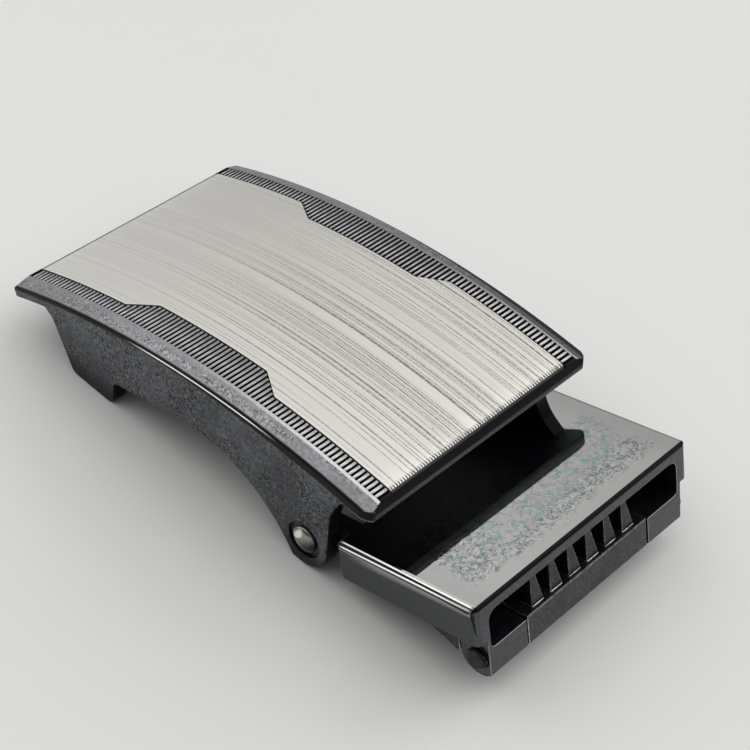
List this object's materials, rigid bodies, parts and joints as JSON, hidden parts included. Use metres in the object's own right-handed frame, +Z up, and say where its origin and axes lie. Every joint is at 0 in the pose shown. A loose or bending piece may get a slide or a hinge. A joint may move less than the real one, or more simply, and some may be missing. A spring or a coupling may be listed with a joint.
{
  "type": "ratchet belt buckle",
  "caption": "Ratchet belt buckle: crowned plate with ribbed bands and a satin panel on two cheeks, and a hinged clamp box with a toothed flap that grips the strap.",
  "frame": {"origin": "centre of the part's bounding box, on the table that the feet and knuckles stand on", "axes": "+X to the mouth of the clamp box, +Y across the strap, +Z up"},
  "size_m": [0.0824, 0.041, 0.0175],
  "materials": {
    "gunmetal_cast": "dark plated zinc casting, fine speckle",
    "satin_steel": "satin, brushed along the strap",
    "bright_steel": "polished nickel",
    "polished_gunmetal": "polished dark nickel plating",
    "black_steel": "black plated steel, satin"
  },
  "bodies": {
    "frame": {"face_frame": "gunmetal_cast", "satin_panel": "satin_steel", "hinge_rivet_near": "bright_steel", "hinge_rivet_far": "bright_steel", "pawl_pin": "bright_steel"},
    "box": {"clamp_box": "polished_gunmetal", "flap_pin": "bright_steel"},
    "flap": {"toothed_flap": "black_steel"},
    "pawl": {"pawl_lever": "black_steel"}
  },
  "joints": [
    {"name": "box_hinge", "type": "hinge", "parent": "frame", "child": "box", "pos_m": [0.0128, 0, 0.00395], "axis": [0, 1, 0], "range_deg": [-8, 65]},
    {"name": "flap_hinge", "type": "hinge", "parent": "box", "child": "flap", "pos_m": [0.03895, 0, 0.00533], "axis": [0, 1, 0], "range_deg": [-95, 0]},
    {"name": "pawl_hinge", "type": "hinge", "parent": "frame", "child": "pawl", "pos_m": [-0.0267, 0, 0.0042], "axis": [0, 1, 0], "range_deg": [0, 14], "stiffness_Nm_per_rad": 0.02, "springref_deg": -11.46}
  ]
}
